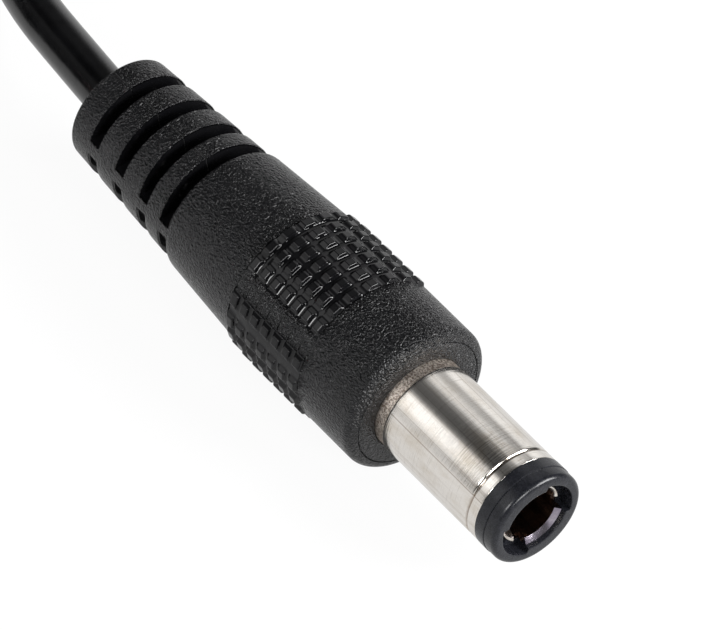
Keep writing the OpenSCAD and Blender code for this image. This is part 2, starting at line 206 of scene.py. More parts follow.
def cord_curve(name, points, d):
    curve = bpy.data.curves.new(name, "CURVE")
    curve.dimensions = "3D"
    curve.bevel_depth = d / 2
    curve.bevel_resolution = 8
    curve.resolution_u = 6
    curve.use_fill_caps = True
    run = curve.splines.new("BEZIER")
    run.bezier_points.add(len(points) - 1)
    for knot, p in zip(run.bezier_points, points):
        knot.co = p
        knot.handle_left_type = knot.handle_right_type = "AUTO"
    piece = bpy.data.objects.new(name, curve)
    bpy.context.scene.collection.objects.link(piece)
    return piece


def place(piece, finish, slot, *stands_for):
    piece.data.materials.clear()
    piece.data.materials.append(finish.material)
    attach(piece, "root")
    if stands_for:
        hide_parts(*stands_for)
    return piece


jacket = Finish("cable_pvc", base_color=(0.005, 0.005, 0.0055, 1), roughness=0.3, specular_ior_level=0.42)
haze = jacket.noise(900, 3)
jacket.drive(
    base_color=jacket.mix(haze.step(0.35, 0.7), (0.002, 0.002, 0.0024, 1), (0.0035, 0.0035, 0.004, 1)),
    roughness=haze * 0.08 + 0.18,
    normal=jacket.bump(jacket.noise(5200, 3) + jacket.noise(700, 2) * 2, 0.000006, 0.6))
coil = [coil_point(turn_step * i) for i in range(end_turn // turn_step + 1)]
cable = cord_curve("cable", lead + coil, cable_d)
place(cable, jacket, "cable_pvc", "cord_lead", "cord_coil")

# Bared end: the two cores lie on the coil, and their last three millimetres are
# stripped and tinned. Extruded PVC over a twist of fine copper strands.
core_d, wire_d = 1.0 * mm, 0.5 * mm
core_l, tin_l = 10 * mm, 3 * mm
core_start, tin_start = -0.4 * mm, core_l - 0.5 * mm
run_points = 15


def end_run(side, begin, length, d, name):
    """A stretch of one core, counted from the end of the jacket, that sinks onto the coil."""
    points = []
    for i in range(run_points):
        s = begin + length * i / (run_points - 1)
        sink = smooth(s / (5 * mm))
        turn = end_turn + math.degrees(s / coil_r)
        points.append(coil_point(turn, side * (0.52 + 0.03 * sink) * mm, -0.75 * mm * sink))
    return cord_curve(name, points, d)


red_pvc = Finish("red_core", base_color=(0.42, 0.02, 0.015, 1), roughness=0.38)
red_pvc.drive(
    base_color=red_pvc.mix(red_pvc.noise(1500, 3), (0.36, 0.015, 0.012, 1), (0.48, 0.03, 0.02, 1)),
    normal=red_pvc.bump(red_pvc.noise(6000, 2), 0.00001, 0.5))
black_pvc = Finish("black_core", base_color=(0.015, 0.015, 0.016, 1), roughness=0.4)
black_pvc.drive(
    base_color=black_pvc.mix(black_pvc.noise(1500, 3), (0.012, 0.012, 0.012, 1), (0.02, 0.02, 0.021, 1)),
    normal=black_pvc.bump(black_pvc.noise(6000, 2), 0.00001, 0.5))
tinned = Finish("tinned_strands", base_color=(0.72, 0.7, 0.67, 1), metallic=1.0, roughness=0.3)
twist = tinned.node("ShaderNodeTexWave", {"bands_direction": "DIAGONAL"}, {
    "Vector": tinned.place, "Scale": 900.0, "Distortion": 1.5})
tinned.drive(
    base_color=tinned.mix(tinned.noise(3000, 3), (0.66, 0.62, 0.58, 1), (0.8, 0.79, 0.77, 1)),
    normal=tinned.bump(twist, 0.00004, 0.6))
ends = []
for side, word, finish in ((1, "red", red_pvc), (-1, "black", black_pvc)):
    core = end_run(side, core_start, core_l - core_start, core_d, "bared_core_" + word)
    ends.append(place(core, finish, "core_" + word, "end_core_" + word))
    wire = end_run(side, tin_start, core_l + tin_l - tin_start, wire_d, "tinned_end_" + word)
    ends.append(place(wire, tinned, "copper", "tinned_" + word))

# ---- Coil tie ---------------------------------------------------------------
# Plastic-covered twist tie: a flat strip wrapped once round the three layers, with
# its two tails twisted together on the inside of the coil.
tie_turn = math.radians(90 + 110)
tie_out = Vector((math.cos(tie_turn), math.sin(tie_turn), 0))
tie_along = Vector((-math.sin(tie_turn), math.cos(tie_turn), 0))
tie_width, strip_t, tie_corner = 3.0, 0.2 * mm, 1.25 * mm
tie_half_w, tie_half_h = cable_d / 2 + 0.08 * mm, 1.5 * cable_d + 0.06 * mm
tail_points, tail_d = 19, 0.7 * mm
tie_finish = Finish("tie_strip", base_color=(0.02, 0.02, 0.021, 1), roughness=0.35)
tie_finish.drive(
    base_color=tie_finish.mix(tie_finish.noise(800, 2), (0.014, 0.014, 0.015, 1), (0.03, 0.03, 0.031, 1)),
    normal=tie_finish.bump(tie_finish.noise(4000, 3), 0.00001, 0.5))


def mesh_piece(name, points, faces, sharp=35):
    mesh = bpy.data.meshes.new(name)
    mesh.from_pydata([tuple(p) for p in points], [], faces)
    mesh.validate()
    mesh.shade_smooth()
    mesh.set_sharp_from_angle(angle=math.radians(sharp))
    piece = bpy.data.objects.new(name, mesh)
    bpy.context.scene.collection.objects.link(piece)
    return piece


def tie_band():
    """The strip as a closed loop: sections across its width, each with an inner and outer skin."""
    outline = []
    for k in range(32):
        a = math.radians(360 * (k + 0.5) / 32)
        cu = math.copysign(tie_half_w - tie_corner, math.cos(a))
        cv = math.copysign(tie_half_h - tie_corner, math.sin(a))
        outline.append((cu, cv, math.cos(a), math.sin(a)))
    middle = lay_z + cable_d
    points, faces = [], []
    edge = tie_width / 2
    sections = ((-edge, 0.0), (0.08 - edge, 0.0), (-0.5, 0.03), (0, 0.05), (0.5, 0.03),
                (edge - 0.08, 0.0), (edge, 0.0))
    for s, (at, crown) in enumerate(sections):
        thick = strip_t * (0.75 if s in (0, len(sections) - 1) else 1) + crown * 0.5 * mm
        for layer in (0, 1):
            for cu, cv, nu, nv in outline:
                r = tie_corner + (thick if layer else 0)
                points.append(coil_centre + tie_out * (coil_r + cu + nu * r)
                              + Vector((0, 0, middle + cv + nv * r)) + tie_along * at * mm)
    n = len(outline)
    for s in range(len(sections) - 1):
        for k in range(n):
            k2 = (k + 1) % n
            a0, b0 = s * 2 * n, (s + 1) * 2 * n
            faces.append((a0 + n + k, a0 + n + k2, b0 + n + k2, b0 + n + k))
            faces.append((a0 + k2, a0 + k, b0 + k, b0 + k2))
    for s, flip in ((0, False), (len(sections) - 1, True)):
        a0 = s * 2 * n
        for k in range(n):
            k2 = (k + 1) % n
            quad = (a0 + k, a0 + k2, a0 + n + k2, a0 + n + k)
            faces.append(quad[::-1] if flip else quad)
    return mesh_piece("tie_band", points, faces)


tie = place(tie_band(), tie_finish, "tie_wire", "coil_tie")
knot = coil_centre + tie_out * (coil_r - cable_d / 2 - 0.3 * mm) + Vector((0, 0, lay_z + cable_d))
for hand in (0, 1):
    tail = []
    for i in range(tail_points):
        t = i / (tail_points - 1)
        swing = 2 * math.pi * 2.2 * t + math.pi * hand
        spread = (0.42 - 0.1 * t) * mm
        tail.append(knot - tie_out * (0.2 + 5.2 * t) * mm + tie_along * spread * math.cos(swing)
                    + Vector((0, 0, spread * math.sin(swing) - 2.2 * t * t * mm)))
    ends.append(place(cord_curve("tie_tail_%d" % hand, tail, tail_d), tie_finish, "tie_wire"))
ends + [tie]

# ---- Handle -----------------------------------------------------------------
# Grip and strain relief in one over-moulding of black PVC: fields of drafted knobs
# on smooth floors, a leather grain elsewhere, and four pairs of slots with a web
# between them that let the relief bend. The barrel's flange is locked inside it.
# Lengths from here on are in millimetres, and angles in degrees.
handle_r, straight_l, back_r, body_l = 4.35, 8.65, 3.8, 16.05
relief_front_r, relief_back_r, relief_l = 3.68, 3.15, 24.85
first_knob, knob_pitch, knob_rise = 4.62, 0.87, 0.15
knob_half_l, knob_half_w = 0.225, 0.235
end_draft, side_draft, draft_from = 0.3, 0.9, 4.5
top_field, field_half = 92, 53
knob_x = [-first_knob - knob_pitch * i for i in range(7)]
top_rows = [top_field + 15.4 * (i - 3) for i in range(7)]
under_rows = [11.5, 168.5] + [187.5 + 15 * i for i in range(12)]
knob_rows = top_rows + under_rows
fine_rows = top_rows + [168.5, 187.5, 202.5, 217.5]
floor_x = (knob_x[-1] - 0.35, knob_x[0] + 0.35)
floor_turns, floor_t = ((top_field - field_half, top_field + field_half), (161, 379)), 0.055
slot_backs = (-16.88, -18.81, -21.04, -23.36)
slot_w, slot_floor_r, slot_edge, slot_foot = 0.69, 2.0, 0.08, 0.1
front_draft, back_draft = math.tan(math.radians(2.5)), math.tan(math.radians(0.5))
web_edge, web_slope = 0.66, math.tan(math.radians(11))
web_half = web_edge / 2 + relief_front_r * web_slope
exit_r = 1.31


def body_r(x):
    """The grip is straight at the front and tapers to its back."""
    return handle_r - np.maximum(0, -x - straight_l) * (handle_r - back_r) / (body_l - straight_l)


def relief_r(x):
    return relief_front_r - (-x - body_l) * (relief_front_r - relief_back_r) / (relief_l - body_l)


def soft_min(a, b, k):
    """The lesser of two values, with the corner between them rounded over k."""
    h = np.maximum(k - np.abs(a - b), 0)
    return np.minimum(a, b) - h * h / (4 * k)


def knob_skin(x, turns):
    """Radius of the knobbed zone at these x and angles, knobs with eased edges on their floors."""
    x, turn = np.meshgrid(x, turns, indexing="ij")
    ground = body_r(x)

    def within(v, low, high, ease):
        return np.clip((v - low) / ease + 0.5, 0, 1) * np.clip((high - v) / ease + 0.5, 0, 1)

    sunk = sum(within(turn, a, b, 5.0) + within(turn + 360, a, b, 5.0) for a, b in floor_turns)
    ground = ground - floor_t * np.clip(sunk, 0, 1) * within(x, *floor_x, 0.05)
    # A drafted side's offset over its distance square to the face
    end_slant, side_slant = 1.044, 1.345
    best = np.full(x.shape, -1.0)
    for row in knob_rows:
        d = (turn - row + 180) % 360 - 180
        near = np.abs(d) < 7.6
        cos, sin = np.cos(np.radians(d)), np.abs(np.sin(np.radians(d)))
        for kx in knob_x:
            pick = near & (np.abs(x - kx) < 0.44)
            if not pick.any():
                continue
            c, s, dx = cos[pick], sin[pick], np.abs(x[pick] - kx)
            top = body_r(kx) + knob_rise
            low, high = np.full(c.shape, 3.6), np.full(c.shape, 4.8)
            for _ in range(16):
                r = (low + high) / 2
                drop = top - r * c
                ends = (knob_half_l + end_draft * drop - dx) / end_slant
                sides = (knob_half_w + side_draft * (draft_from - r * c) - r * s) / side_slant
                inside = soft_min(soft_min(drop, ends, 0.055), sides, 0.045) > 0
                low, high = np.where(inside, r, low), np.where(inside, high, r)
            best[pick] = np.maximum(best[pick], low)
    return -soft_min(-ground, -best, 0.035)


def relief_ring(turns):
    """Outline of the strain relief at each angle, from the body back to the rear face."""
    s, c = np.abs(np.sin(np.radians(turns))), np.abs(np.cos(np.radians(turns)))
    bottom = np.maximum(slot_floor_r, web_half / (s + web_slope * c))
    one = np.ones(len(turns))
    rings = []
    front = -16.06
    for i, back in enumerate(slot_backs):
        def wall(r, ahead):
            return back + slot_w + r * s * front_draft if ahead else back - r * s * back_draft

        deep = np.maximum(relief_r(back) - bottom, 0)
        edge, foot = np.minimum(slot_edge, 0.45 * deep), np.minimum(slot_foot, 0.3 * deep)
        half = []
        for ahead in (True, False):
            sign = 1 if ahead else -1
            r0 = relief_r(wall(3.5, ahead))
            side = []
            for q in (0, 22, 45, 67, 90):
                q = math.radians(q)
                r = r0 - edge * (1 - math.cos(q))
                side.append((wall(r, ahead) + sign * edge * (1 - math.sin(q)), r))
            floor_at = np.minimum(bottom, r0)
            for t in (0.25, 0.5, 0.75, 1):
                r = (r0 - edge) * (1 - t) + (floor_at + foot) * t
                side.append((wall(r, ahead), r))
            for q in (30, 60, 90):
                q = math.radians(q)
                r = floor_at + foot * (1 - math.sin(q))
                side.append((wall(r, ahead) - sign * foot * (1 - math.cos(q)), r))
            half.append(side)
        slot_front = half[0][0][0]
        for t in ((0.0, 0.12, 0.3, 0.5, 0.7, 0.88) if i else (0.2, 0.6)):
            x = (front if i else front * one) * (1 - t) + slot_front * t
            rings.append((x, relief_r(x)))
        rings += half[0]
        a, b = half[0][-1], half[1][-1]
        rings += [(a[0] * (1 - t) + b[0] * t, a[1] * (1 - t) + b[1] * t) for t in (0.33, 0.67)]
        rings += half[1][::-1]
        front = half[1][0][0]
    for t in (0.15, 0.4, 0.7, 1.0):
        x = front * (1 - t) - relief_l * t
        rings.append((x, relief_r(x)))
    for q in (22, 45, 67, 90):
        q = math.radians(q)
        rings.append(((-relief_l - 0.15 * math.sin(q)) * one, (3.0 + 0.15 * math.cos(q)) * one))
    return rings


def handle_mesh():
    """Rings of points along the handle, finer round it where knobs or slots need it."""
    coarse = {round(3.75 * i, 3) for i in range(96)}
    web = {round((m + side * d) % 360, 3) for m in (0, 180) for side in (-1, 1)
           for d in (2, 3.2, 4.2, 4.8, 5.1, 5.4, 5.7, 6.0, 6.4, 7, 8, 9.2)}
    rows = set()
    fine_steps = (0, 0.1, 0.16, 0.19, 0.22, 0.25, 0.3, 0.36, 0.41, 0.45)
    plain_steps = (0, 0.16, 0.22, 0.27, 0.4, 0.45)
    for row in knob_rows:
        steps = fine_steps if row in fine_rows else plain_steps
        rows |= {round((row + math.degrees(side * w / 4.42)) % 360, 3) for w in steps for side in (-1, 1)}
    edges = {round((t + d) % 360, 3) for turns in floor_turns for t in turns for d in (-2.5, -1, 1, 2.5)}
    fine = sorted(coarse | web | rows | edges)
    plain, webbed = sorted(coarse), sorted(coarse | web)
    across = sorted({round(kx + side * d, 4) for kx in knob_x for side in (-1, 1)
                     for d in (0, 0.09, 0.15, 0.18, 0.2, 0.215, 0.23, 0.25, 0.275, 0.32, 0.435)}, reverse=True)
    rings = []

    def ring(turns, x, r):
        turns = np.array(turns)
        rings.append((turns, x * np.ones(len(turns)), r * np.ones(len(turns))))

    seat_and_face = ((-1.0, 2.66), (-0.6, 2.66), (-0.12, 2.66), (-0.05, 2.68), (-0.015, 2.72), (0, 2.78),
                     (0, 2.9), (0, 3.3))
    face_groove = ((0, 3.7), (-0.01, 3.72), (-0.05, 3.745), (-0.055, 3.765), (-0.012, 3.79), (-0.014, 3.82))
    for x, r in seat_and_face + face_groove:
        ring(plain, x, r)
    for q in range(5, 91, 8):
        q = math.radians(q)
        ring(plain, -0.55 + 0.525 * math.cos(q), 3.8 + 0.55 * math.sin(q))
    for x in (-0.8, -1.3, -2, -2.8, -3.5, -3.9):
        ring(plain, x, handle_r)
    zone = [-3.98, -4.1, -4.18, -4.235, -4.27, -4.305] + [x for x in across if x < -4.31] + [
        floor_x[0] - d for d in (-0.05, -0.025, 0, 0.025, 0.06, 0.2)]
    zone = sorted({round(x, 4) for x in zone}, reverse=True)
    skin = knob_skin(np.array(zone), np.array(fine))
    for x, r in zip(zone, skin):
        ring(fine, x, r)
    for x in (-10.6, -11.4, -12.2, -13, -13.8, -14.6, -15.3, -15.75):
        ring(webbed, x, body_r(np.array(x)))
    for q in (10, 25, 40, 55, 66.4):
        q = math.radians(q)
        ring(webbed, -15.85 - 0.2 * math.sin(q), 3.6 + 0.2 * math.cos(q))
    for x, r in relief_ring(np.array(webbed)):
        ring(webbed, x, r)
    for x, r in ((-25, 2.7), (-25, 2.0), (-25, 1.42), (-24.97, 1.36), (-24.9, exit_r)):
        ring(webbed, x, r)
    for x, r in ((-24.5, exit_r), (-18, exit_r), (-10.5, exit_r), (-10.5, 3.0), (-2.0, 3.0), (-2.0, 3.3),
                 (-1.6, 3.3), (-1.6, 3.4), (-1.0, 3.4)):
        ring(plain, x, r)

    points, faces, starts = [], [], []
    for turns, x, r in rings:
        starts.append(len(points))
        a = np.radians(turns)
        points += list(zip(x * mm, r * np.cos(a) * mm, r * np.sin(a) * mm))
    for i in range(len(rings)):
        j = (i + 1) % len(rings)
        many, few, flip = (i, j, False) if len(rings[i][0]) >= len(rings[j][0]) else (j, i, True)
        at_many = {round(float(t), 3): k for k, t in enumerate(rings[many][0])}
        n_many, n_few = len(rings[many][0]), len(rings[few][0])
        for k in range(n_few):
            k2 = (k + 1) % n_few
            a, b = (at_many[round(float(rings[few][0][m]), 3)] for m in (k, k2))
            if b <= a:
                b += n_many
            face = [starts[few] + k, starts[few] + k2] + [starts[many] + m % n_many for m in range(b, a - 1, -1)]
            faces.append(face[::-1] if flip else face)
    return mesh_piece("grip_and_relief", points, faces, 50)


handle = handle_mesh()
pvc = Finish("moulded_pvc", base_color=(0.003, 0.003, 0.0035, 1), roughness=0.25, specular_ior_level=0.3)
around = pvc.turn()
past_floor = pvc.x.step((floor_x[1] - 0.05) * mm, floor_x[1] * mm)
on_field = pvc.x.step(floor_x[0] * mm, (floor_x[0] + 0.05) * mm) * (1 - past_floor)
radius = (pvc.y * pvc.y + pvc.z * pvc.z) ** 0.5
taper = pvc.node("ShaderNodeMath", {"operation": "MAXIMUM"}, {0: -pvc.x - straight_l * mm, 1: 0.0})
proud = radius + taper * ((handle_r - back_r) / (body_l - straight_l)) - handle_r * mm
top_floor = around.step(38, 40) * (1 - around.step(143, 146))
polished = on_field * (top_floor + around.step(161, 163) + (1 - around.step(17, 19)))
knob_skins = on_field * proud.step(0.01 * mm, 0.03 * mm)
polished = pvc.node("ShaderNodeMath", {"operation": "MAXIMUM"}, {0: polished, 1: knob_skins})
between = on_field * around.step(143, 145) * (1 - around.step(161, 163)) * (1 - polished)
outer_skin = 1 - pvc.x.step(-16.0 * mm, -15.9 * mm)
relief_slope = 0.0602
slot_depth = relief_front_r * mm + (pvc.x + body_l * mm) * relief_slope - radius
in_slot = outer_skin * slot_depth.step(0.04 * mm, 0.1 * mm)
leather = (1 - polished - between * 0.4) * (1 - in_slot)
pebble = pvc.node("ShaderNodeTexVoronoi", {"feature": "SMOOTH_F1"},
                  {"Vector": pvc.place, "Scale": 8200.0, "Smoothness": 0.3, "Randomness": 1.0})
crease = pvc.node("ShaderNodeTexVoronoi", {"feature": "DISTANCE_TO_EDGE"},
                  {"Vector": pvc.place, "Scale": 3300.0, "Randomness": 1.0})
grain = (pebble * 0.7 + pvc.noise(7600, 2, 0.5) * 0.95 + pvc.noise(2200, 2, 0.5) * 0.4
         + crease.step(0.0, 0.15) * 0.3) * leather
seam = around.line(107.5, 0.7) * (1 - pvc.x.step(-16.2 * mm, -16.0 * mm))
parting_ends = pvc.x.step(-4.2 * mm, -4.1 * mm) * (1 - pvc.x.step(-0.6 * mm, -0.4 * mm))
parting = around.line(176.5, 0.6) * parting_ends
knob_count = pvc.x / (knob_pitch * mm) + 20 + (first_knob + 0.27) / knob_pitch - 0.5
pitch_at = pvc.node("ShaderNodeMath", {"operation": "FRACT"}, {0: knob_count})
tool_lines = (pitch_at.line(0.5, 0.05) + pvc.x.line((floor_x[0] + 0.06) * mm, 0.05 * mm)) * between
wear = pvc.noise(420, 4, 0.6)
pvc.drive(
    base_color=pvc.mix(wear.step(0.35, 0.7), (0.0025, 0.0025, 0.003, 1), (0.0045, 0.0045, 0.005, 1)),
    roughness=0.08 + wear * 0.08 + leather * 0.06,
    normal=pvc.bump(grain - seam * 1.3 + parting * 0.5 - tool_lines * 1.2, 0.0001, 1.0))
place(handle, pvc, "black_pvc", "handle")

# ---- Barrel sleeve ------------------------------------------------------------
# Outer contact: drawn brass tube, bright nickel plate. Its foot is left matt where it
# runs into the handle, and a rolled groove near the mouth grips the plastic nose.


def turned(outline, start=0.0, stop=360.0, steps=160):
    """A closed outline of (x, r) points turned round the plug's axis, whole or in part."""
    whole = stop - start >= 360
    count = steps if whole else steps + 1
    n = len(outline)
    points = []
    for i in range(count):
        a = math.radians(start + (stop - start) * i / steps)
        points += [(x * mm, r * math.cos(a) * mm, r * math.sin(a) * mm) for x, r in outline]
    faces = []
    for i in range(steps):
        j = (i + 1) % count
        for k in range(n):
            k2 = (k + 1) % n
            faces.append((i * n + k, i * n + k2, j * n + k2, j * n + k))
    if not whole:
        faces.append(tuple(range(n))[::-1])
        faces.append(tuple(steps * n + k for k in range(n)))
    return points, faces


def eased(outline, radii, steps=4):
    """The outline with each corner rounded by its own radius."""
    made = []
    n = len(outline)
    for k in range(n):
        p, a, b = (np.array(outline[(k + d) % n], float) for d in (0, -1, 1))
        r = radii[k]
        if r <= 0:
            made.append(tuple(p))
            continue
        u, v = a - p, b - p
        reach = min(r, 0.45 * np.linalg.norm(u), 0.45 * np.linalg.norm(v))
        u, v = p + u / np.linalg.norm(u) * reach, p + v / np.linalg.norm(v) * reach
        for i in range(steps + 1):
            t = i / steps
            made.append(tuple((1 - t) ** 2 * u + 2 * t * (1 - t) * p + t * t * v))
    return made


def join_parts(name, parts, sharp=40):
    points, faces = [], []
    for more_points, more_faces in parts:
        base = len(points)
        points += more_points
        faces += [tuple(base + k for k in face) for face in more_faces]
    return mesh_piece(name, points, faces, sharp)


barrel_r, sleeve_in_r = 2.75, 2.41
sleeve_outline = [(-1.6, sleeve_in_r), (-1.6, 3.38), (-1.0, 3.38), (-1.0, 2.68), (0.63, 2.69), (0.66, 2.74),
                  (0.72, barrel_r), (7.28, barrel_r), (7.34, 2.68), (7.42, 2.68), (7.48, barrel_r),
                  (8.06, barrel_r), (8.08, 2.73), (8.08, sleeve_in_r)]
sleeve_corners = [0, 0.1, 0.1, 0, 0.02, 0.02, 0.04, 0.04, 0.03, 0.03, 0.04, 0.03, 0.02, 0]
sleeve = join_parts("barrel_tube", [turned(eased(sleeve_outline, sleeve_corners), steps=200)])
nickel = Finish("nickel_plate", base_color=(0.78, 0.74, 0.69, 1), metallic=1.0, roughness=0.15)
foot = 1 - nickel.x.step(0.6 * mm, 0.68 * mm)
# Painted shade: the plate is coloured darker in and beside the rolled groove.
painted_groove_shade = nickel.x.line(7.38 * mm, 0.1 * mm)
brushed = nickel.noise(1.0, 3, 0.6, (12000, 500, 500))
stain = nickel.noise(300, 4, 0.65, (1, 2.4, 2.4))
drawn = nickel.noise(1.0, 3, 0.6, (60, 5200, 5200))
scratch = nickel.noise(1.0, 2, 0.5, (42000, 900, 900)).step(0.62, 0.68)
pits = nickel.noise(9000, 4, 0.7)
nickel_turn = nickel.turn()
# Painted reflections: thin dark lines along the barrel at fixed angles round it, standing for dark parts of the
# studio that the plate reflects.
line = nickel_turn.line(157, 1.0) + nickel_turn.line(146.5, 0.6) * 0.7 + nickel_turn.line(118, 0.5) * 0.5
bright = nickel.mix(stain.step(0.42, 0.75), (0.82, 0.785, 0.74, 1), (0.66, 0.6, 0.52, 1))
# Real drawing marks and scratches, with the painted reflection lines and the painted groove shade, pull the
# plate towards dark brown.
marks_and_painted_shade = drawn.step(0.5, 0.8) * 0.35 + line * 0.55 + scratch * 0.25 + painted_groove_shade * 0.7
marked_plate_with_painted_shade = nickel.mix(marks_and_painted_shade, bright, (0.2, 0.14, 0.095, 1))
matt = nickel.mix(pits.step(0.4, 0.62), (0.26, 0.2, 0.16, 1), (0.9, 0.82, 0.74, 1))
nickel.drive(
    base_color=nickel.mix(foot, marked_plate_with_painted_shade, matt),
    roughness=brushed * 0.1 + stain * 0.08 + 0.06 + foot * 0.34,
    normal=nickel.bump(brushed * (1 - foot) + foot * pits * 6, 0.000005, 1.0))
place(sleeve, nickel, "nickel", "barrel_sleeve")

# ---- Insulating nose ----------------------------------------------------------
# Moulded plastic bush that keeps the two contacts apart. Its front ring stands beyond
# the sleeve, and two notches in its bore clear the fingers of the centre contact.
notch_turn, notch_half, notch_floor, notch_depth, notch_ease = 38, 46, 8.7, 0.28, 0.9
nose_x, nose_bore, mouth_bore, face_round, mouth_ease = 9.6, 1.86, 1.88, 0.3, 0.06


def nose_outline(mouth):
    """The bush's section, from its back round the front ring and into a mouth of that radius."""
    out = [(-1.6, nose_bore), (-1.6, 2.4), (8.09, 2.4), (8.09, 2.76), (8.73, 2.77), (8.765, 2.71), (8.80, 2.74)]
    for q in range(0, 91, 10):
        q = math.radians(q)
        out.append((9.3 + face_round * math.sin(q), 2.44 + face_round * math.cos(q)))
    e = mouth_ease
    out += [(nose_x, mouth + e + 0.05), (nose_x, mouth + e), (nose_x - e * 0.3, mouth + e * 0.3),
            (nose_x - e, mouth), (notch_floor + 0.02, mouth), (notch_floor, max(mouth - 0.02, mouth_bore)),
            (notch_floor, mouth_bore), (8.6, mouth_bore), (8.6, nose_bore)]
    return out


def nose_bush():
    """The section turned round the axis, its mouth wider over the two notches."""
    points, faces = [], []
    turns = sorted({round(2.0 * i, 2) for i in range(180)} | {
        round((notch_turn + half * 180 + side * (notch_half + d)) % 360, 2)
        for half in (0, 1) for side in (-1, 1) for d in (-1.2, -0.6, 0, 0.6, 1.2)})
    n = len(nose_outline(mouth_bore))
    for turn in turns:
        off = min(abs((turn - notch_turn - half * 180 + 180) % 360 - 180) for half in (0, 1))
        deep = min(max((notch_half + notch_ease - off) / (2 * notch_ease), 0), 1)
        section = nose_outline(mouth_bore + notch_depth * deep)
        a = math.radians(turn)
        points += [(x * mm, r * math.cos(a) * mm, r * math.sin(a) * mm) for x, r in section]
    m = len(turns)
    for i in range(m):
        j = (i + 1) % m
        faces += [(i * n + k, i * n + (k + 1) % n, j * n + (k + 1) % n, j * n + k) for k in range(n)]
    return mesh_piece("nose_bush", points, faces, 35)


plastic = Finish("charcoal_plastic", base_color=(0.008, 0.0085, 0.011, 1), roughness=0.3, specular_ior_level=0.3)
speck = plastic.noise(5200, 3, 0.6)
plastic.drive(
    base_color=plastic.mix(speck.step(0.3, 0.75), (0.006, 0.0065, 0.0085, 1), (0.012, 0.0125, 0.016, 1)),
    roughness=0.2 + speck * 0.14,
    normal=plastic.bump(speck + plastic.noise(1100, 2) * 2, 0.00001, 0.6))
place(nose_bush(), plastic, "insulator", "tip_insulator")

# ---- Centre contact -------------------------------------------------------------
# Inner contact: a tube of nickel-plated spring brass with a chamfered mouth. Two
# fingers cut from its wall bend inwards to grip the pin, and a tail takes the wire.
mouth_x, root_x, bore, wall_r = 9.35, 4.75, 1.5, 1.85
grip_r, finger_half, notch_wall = 1.3, 23, 31


def centre_tube():
    """The whole tube behind the fingers, then its front in parts: lips, notch steps and fingers."""
    parts = [turned([(-4.0, 0.001), (-4.0, 0.5), (-3.95, 0.55), (-1.6, 0.55), (-1.6, wall_r), (root_x, wall_r),
                     (root_x, bore), (-1.1, bore), (-1.1, 0.001)], steps=120)]
    lip = [(root_x - 0.02, bore), (root_x - 0.02, wall_r), (mouth_x - 0.05, wall_r), (mouth_x, wall_r - 0.05),
           (mouth_x - 0.03, wall_r - 0.1), (mouth_x - 0.21, bore)]
    step_back = [(root_x - 0.02, bore), (root_x - 0.02, wall_r), (notch_floor, wall_r), (notch_floor, bore)]
    finger = [(root_x - 0.05, bore), (root_x - 0.05, wall_r), (7.6, grip_r + 0.34), (8.2, grip_r + 0.32),
              (8.75, 1.62), (9.02, 1.76), (9.05, 1.68), (8.98, 1.56), (8.7, 1.42), (8.25, grip_r + 0.01),
              (8.05, grip_r), (7.8, grip_r)]
    for half in (0, 1):
        at = notch_turn + 180 * half
        parts.append(turned(lip, at + notch_half, at + 180 - notch_half, 60))
        parts.append(turned(step_back, at + notch_wall, at + notch_half + 0.5, 10))
        parts.append(turned(step_back, at - notch_half - 0.5, at - notch_wall, 10))
        parts.append(turned(eased(finger, [0] * 2 + [0.1] * 10, 3), at - finger_half, at + finger_half, 32))
    return join_parts("centre_tube", parts, 40)


spring = Finish("contact_plate", base_color=(0.6, 0.55, 0.5, 1), metallic=1.0, roughness=0.22)
cloud = spring.noise(1500, 4, 0.6)
spring_turn = spring.turn()
near_notch, far_notch = (
    (spring_turn - turn).line(0, 50).step(0.48, 0.52) for turn in (notch_turn, notch_turn + 180))
finger = spring.x.step(7.2 * mm, 7.6 * mm) * (near_notch + far_notch)
chamfer = spring.x.step(9.08 * mm, 9.16 * mm)
streaks = spring.noise(1.0, 3, 0.6, (60, 3200, 3200)).step(0.35, 0.7)
# Painted shade: the plating inside the bore is coloured dark brown, with lighter lengthwise streaks.
painted_bore_shade = spring.mix(streaks, (0.14, 0.09, 0.07, 1), (0.42, 0.27, 0.2, 1))
# Painted shade: the same plating on the mouth's chamfer is coloured a darker blue-grey.
painted_chamfer_shade = spring.mix(cloud.step(0.35, 0.7), (0.4, 0.37, 0.42, 1), (0.24, 0.21, 0.27, 1))
plated = spring.mix(cloud.step(0.35, 0.7), (0.82, 0.78, 0.72, 1), (0.62, 0.56, 0.5, 1))
spring.drive(
    base_color=spring.mix(finger, spring.mix(chamfer, painted_bore_shade, painted_chamfer_shade), plated),
    roughness=cloud * 0.15 + 0.12,
    normal=spring.bump(spring.noise(1.0, 3, 0.6, (9000, 300, 300)), 0.000006, 0.5))
place(centre_tube(), spring, "contact_metal", "centre_contact")

# ---- Inside the handle ------------------------------------------------------------
# Hidden parts: a brass washer and tag that the sleeve's flange is staked to, the stiff
# block moulded round the joints, the solder, and the cable's bare and covered cores.


def inner_finish(name, low, high, roughness, scale, metallic=0.0, relief=0.00001):
    made = Finish(name, base_color=(*low, 1), roughness=roughness, metallic=metallic)
    cloud = made.noise(scale, 3, 0.6)
    return made.drive(
        base_color=made.mix(cloud, (*low, 1), (*high, 1)),
        roughness=cloud * 0.2 + roughness - 0.1,
        normal=made.bump(cloud, relief, 0.5))


